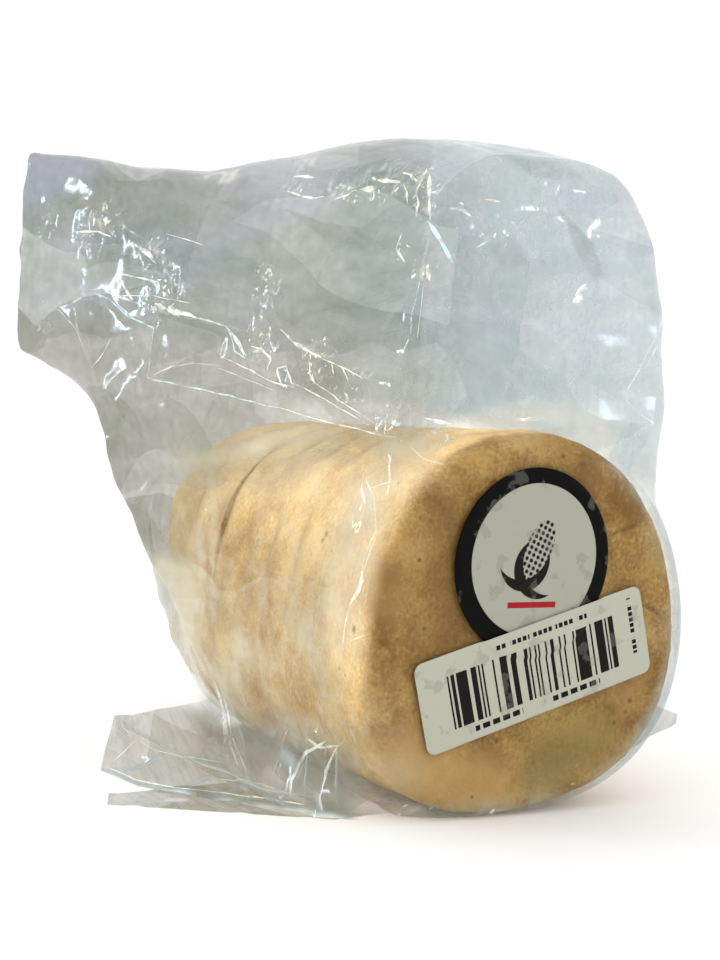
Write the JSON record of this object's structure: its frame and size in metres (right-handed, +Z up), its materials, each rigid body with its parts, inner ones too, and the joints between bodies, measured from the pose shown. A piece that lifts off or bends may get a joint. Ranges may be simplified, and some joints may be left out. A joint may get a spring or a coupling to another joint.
{
  "type": "bagged stack of arepa corn cakes",
  "caption": "Clear film pack of flat round corn cakes lying on its side, snug round the row and puffed above it, with a round sticker and a bar label on the front.",
  "frame": {"origin": "on the surface the pack lies on, under the middle of the row of cakes", "axes": "+Z up, the cakes stand in a row along Y, and the labelled front faces -Y"},
  "size_m": [0.171, 0.1876, 0.1831],
  "materials": {
    "film": "clear crumpled polyethylene film, glossy, slightly milky",
    "cake": "cooked white corn dough, dry, mottled tan with fine specks",
    "sticker": "gloss printed vinyl, black ring round a pale disc",
    "label": "matt white label paper with thermal print"
  },
  "bodies": {
    "root": {"bag": "film", "round_sticker": "sticker", "bar_label": "label"}
  },
  "joints": []
}
